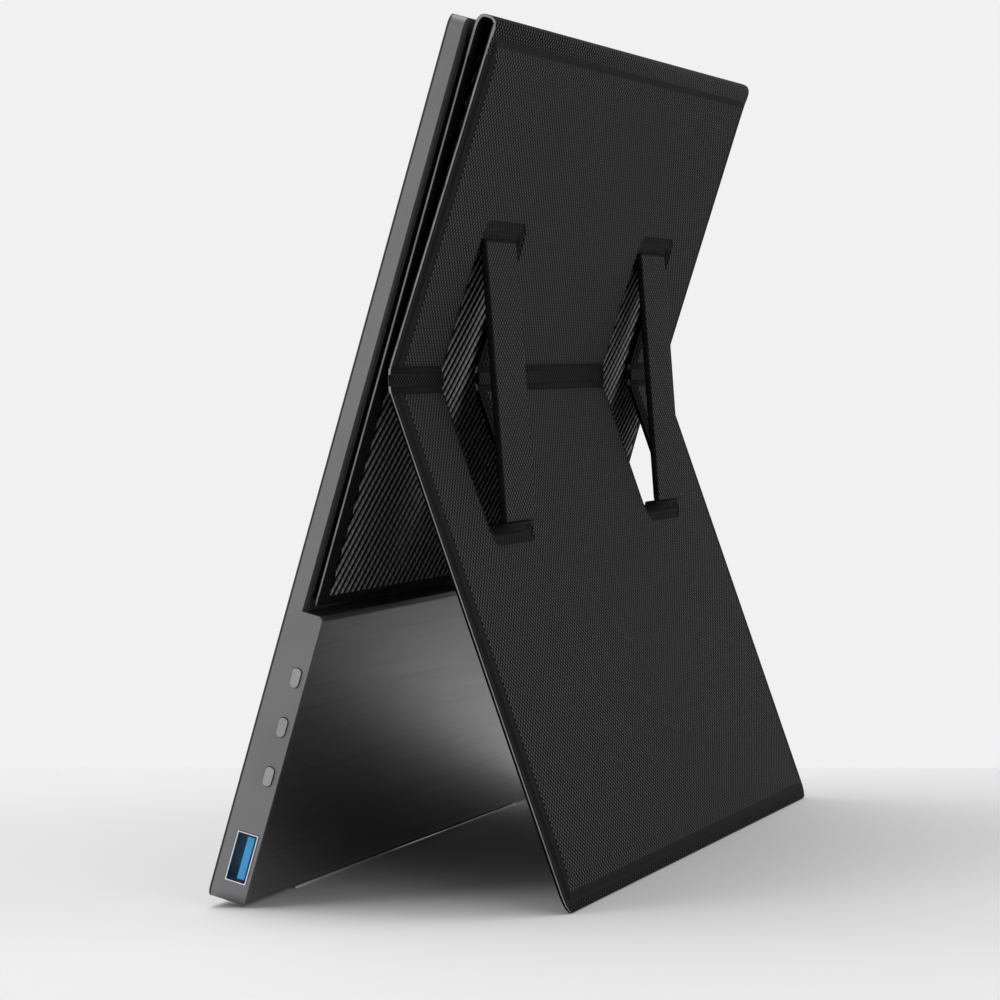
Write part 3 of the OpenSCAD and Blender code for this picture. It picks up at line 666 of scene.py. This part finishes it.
# The spine loop over the top, split at its crest
SPINE_T, CREASE_T, FOLD_T, FLAP_T = 0.85, 0.8, 0.6, 0.7
crest = yz(body_at, 8.45, 232.75)
near_side = curve([yz(body_at, 6.3, 222.0), yz(body_at, 6.3, 226.0), yz(body_at, 6.35, 229.0),
                   yz(body_at, 6.55, 231.0), yz(body_at, 7.3, 232.4), crest], 6)
far_side = curve([crest, yz(body_at, 9.7, 232.65), yz(body_at, 10.6, 232.1), yz(body_at, 11.05, 231.0),
                  yz(body_at, 11.1, 229.3), yz(upper_at, -0.5, -5.5), yz(upper_at, -0.52, -9.0)], 6)
wide = [(-HALF, HALF)]
spine_near = strip("spine_near", near_side, SPINE_T, wide, [PRESSED, EDGE])
tuple(body_at(0, 6.3, 228.0))
tuple(body_at(0, 7.0, 232.4))
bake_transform(spine_near)
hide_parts("spine_band")
spine_far = strip("spine_far", far_side, SPINE_T, wide, [CLOTH, EDGE])
tuple(body_at(0, 10.6, 232.1))
tuple(body_at(0, 11.1, 230.8))
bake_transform(spine_far)

# The soft crease, split at its middle
bars = [(-HALF, -WR), (-WL, WL), (WR, HALF)]
mid_crease = yz(crease_at, 0.0, -CREASE_W / 2)
crease_up = curve([yz(upper_at, EDGE_MID, 1.6 - UPPER_LEN), yz(upper_at, EDGE_MID, 0.6 - UPPER_LEN),
                   yz(crease_at, 0.05, -0.6), mid_crease], 5)
crease_down = curve([mid_crease, yz(crease_at, 0.05, 0.6 - CREASE_W), yz(lower_at, EDGE_MID, -0.6),
                     yz(lower_at, EDGE_MID, -1.6)], 5)
# The crease strips take the near black flap cloth: painted shade in the crease
crease_top_cloth = strip("crease_top_cloth", crease_up, CREASE_T, bars, [LOOKS["flap_fabric"], EDGE])
tuple(upper_at(0, EDGE_MID, 0.9 - UPPER_LEN))
tuple(crease_at(0, 0, -0.9))
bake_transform(crease_top_cloth)
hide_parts("crease_band")
# The crease pads' face is the darker woven copy: painted shade in the crease
crease_bar = [
    (0.0, 0.5, -0.42, 1), (0.0, 0.1, -0.36, 1), (0.0, 0.0, -0.2, 1), (0.0, 0.0, 0.55, 1),
    (0.0, 0.08, 0.78, 1), (0.0, 0.3, 0.9, 0), (0.0, 0.8, 0.93, 0)]
PAD_IN = 0.7
for i, (x0, x1) in enumerate(bars):
    box = [(x0, PAD_IN - CREASE_W), (x1, PAD_IN - CREASE_W), (x1, -PAD_IN), (x0, -PAD_IN)]
    pad = pressed_panel("crease_cloth_%d" % (i + 1), crease_at, box, [0.0] * 4, [0.3] * 4, crease_bar,
                        [SHADED_CLOTH, PRESSED, EDGE])
    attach(pad, "crease")
crease_low_cloth = strip("crease_low_cloth", crease_down, CREASE_T, bars, [LOOKS["flap_fabric"], EDGE])
tuple(crease_at(0, 0, 0.9 - CREASE_W))
tuple(lower_at(0, EDGE_MID, -0.9))
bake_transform(crease_low_cloth)

# The struts and their flaps
strut_bar = [
    (1.0, 1.0, INNER_N, 1), (1.0, 0.35, INNER_N + 0.02, 2), (1.0, 0.08, INNER_N + 0.2, 2),
    (1.0, 0.0, INNER_N + 0.5, 2), (0.3, 0.0, 0.0, 2), (0.0, 0.0, FACE_N - 0.4, 2),
    (0.0, 0.08, FACE_N - 0.2, 2), (0.0, 0.35, FACE_N - 0.02, 0), (0.0, 1.0, FACE_N, 0)]
strut_widths, strut_radii = [0.0, 0.0, 1.3, 0.0], [1.2, 1.2, 0.6, 0.6]
STRUT_PAST = 0.5
for side, x in (("right", STRUT_X), ("left", -STRUT_X)):
    half = STRUT_W / 2
    x0, x1 = x - half, x + half
    points = [(x0, -STRUT_LEN), (x1, -STRUT_LEN), (x1, STRUT_PAST), (x0, STRUT_PAST)]
    strut = pressed_panel(side + "_strut_cloth", strut_at, points, strut_widths, strut_radii, strut_bar,
                          [CLOTH, RIBS, PRESSED])
    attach(strut, side + "_strut")
    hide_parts(side + "_strut_sleeve", side + "_strut_skin")
    hinge = curve([yz(upper_at, -0.55, WINDOW_UP - UPPER_LEN + 2.2),
                   yz(upper_at, -0.5, WINDOW_UP - UPPER_LEN + 0.8),
                   yz(strut_at, -0.4, -0.3), yz(strut_at, -0.5, -1.6)], 5)
    fold = strip(side + "_strut_fold", hinge, FOLD_T, [(x0 + 0.3, x1 - 0.3)],
                 [LOOKS["flap_fabric"], LOOKS["flap_fabric"]])
    tuple(upper_at(x, 0, WINDOW_UP - UPPER_LEN + 0.9))
    tuple(strut_at(x, 0, -0.9))
    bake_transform(fold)
    # The flap's near black cloth paints the shade under the strut's foot
    tab = curve([yz(lower_at, -0.2, -WINDOW_DOWN - 2.6), yz(lower_at, -0.1, -WINDOW_DOWN - 0.7),
                 yz(flap_at, 0.0, 0.6), yz(flap_at, 0.0, 3.3)], 5)
    flap = strip(side + "_flap_cloth", tab, FLAP_T, [(x0, x1)],
                 [LOOKS["flap_fabric"], LOOKS["flap_fabric"]])
    tuple(lower_at(x, 0, -WINDOW_DOWN - 0.8))
    tuple(flap_at(x, 0, 0.8))
    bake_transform(flap)
    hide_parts(side + "_flap")


# The stage: floor and backdrop, the camera and soft studio light
def stage_material(name, seen, lit):
    m = Nodes(name)
    m.set(colour=lit, rough=0.9, spec=0.1)
    out = m.tree.nodes["Material Output"]
    glow = m.new("ShaderNodeEmission")
    glow.inputs["Color"].default_value = (*seen, 1.0)
    path = m.new("ShaderNodeLightPath")
    mix = m.new("ShaderNodeMixShader")
    m.link(path.outputs["Is Camera Ray"], mix.inputs[0])
    m.link(m.shader.outputs[0], mix.inputs[1])
    m.link(glow.outputs[0], mix.inputs[2])
    m.link(mix.outputs[0], out.inputs["Surface"])
    return m.mat


floor_look = Nodes("floor_look").set(colour=(0.80, 0.80, 0.80), rough=0.85, spec=0.15)
CAMERA_AT = Vector((1.4347, 0.3219, 0.1415))
YAW, PITCH = math.radians(13.14), math.radians(1.37)
AWAY = Vector((-math.cos(YAW), -math.sin(YAW), 0.0))
ASIDE = Vector((-math.sin(YAW), math.cos(YAW), 0.0))


def stage_at(depth, aside, height):
    return Vector((CAMERA_AT.x, CAMERA_AT.y, height)) + AWAY * depth + ASIDE * aside


# In metres from the camera: where the floor starts and ends, how wide it is, and the wall's place
FLOOR_START, FLOOR_END, FLOOR_SIDE = -0.6, 1.744, 2.5
WALL_DEPTH, WALL_SIDE, WALL_LOW, WALL_HIGH = 4.5, 6, -2, 5
floor = make("floor", [stage_at(FLOOR_START, -FLOOR_SIDE, 0), stage_at(FLOOR_START, FLOOR_SIDE, 0),
                       stage_at(FLOOR_END, FLOOR_SIDE, 0), stage_at(FLOOR_END, -FLOOR_SIDE, 0)],
             [(0, 1, 2, 3)], [floor_look])
wall_look = stage_material("wall_look", (0.88, 0.88, 0.88), (0.8, 0.8, 0.8))
wall_corners = ((-WALL_SIDE, WALL_LOW), (WALL_SIDE, WALL_LOW),
                (WALL_SIDE, WALL_HIGH), (-WALL_SIDE, WALL_HIGH))
wall = make("wall", [stage_at(WALL_DEPTH, aside, height) for aside, height in wall_corners],
            [(0, 1, 2, 3)], [wall_look])

scene = bpy.context.scene
scene.view_settings.view_transform = "Standard"
world = bpy.data.worlds.new("room")
scene.world = world
world.use_nodes = True
sky = world.node_tree.nodes["Background"]
sky.inputs["Color"].default_value = (1.0, 1.0, 1.0, 1.0)
sky.inputs["Strength"].default_value = 0.48


def area_light(name, place, target, size, power):
    data = bpy.data.lights.new(name, "AREA")
    data.shape = "RECTANGLE"
    data.size, data.size_y = size
    data.energy = power
    lamp = bpy.data.objects.new(name, data)
    lamp.location = place
    lamp.rotation_euler = (Vector(target) - Vector(place)).to_track_quat("-Z", "Y").to_euler()
    scene.collection.objects.link(lamp)


area_light("top_light", (-0.45, -0.55, 1.95), (0, 0, 0.1), (2.0, 2.0), 27.5)
area_light("side_light", (1.4, -1.2, 0.9), (0, 0, 0.12), (1.0, 1.0), 9.0)
area_light("back_light", (-1.2, 1.4, 1.0), (0, 0, 0.12), (1.2, 1.2), 6.0)
area_light("window_light", (1.3, 0.9, 0.5), (0, 0, 0.12), (0.8, 0.8), 3.0)

camera = bpy.data.objects.new("camera", bpy.data.cameras.new("camera"))
scene.collection.objects.link(camera)
scene.camera = camera
camera.data.sensor_width = 36.0
camera.data.lens = 186.35
camera.data.shift_x = 0.0031
camera.data.shift_y = -0.0277
camera.data.clip_end = 50.0
camera.location = CAMERA_AT
look = AWAY * math.cos(PITCH) + Vector((0.0, 0.0, -math.sin(PITCH)))
camera.rotation_euler = look.to_track_quat("-Z", "Y").to_euler()
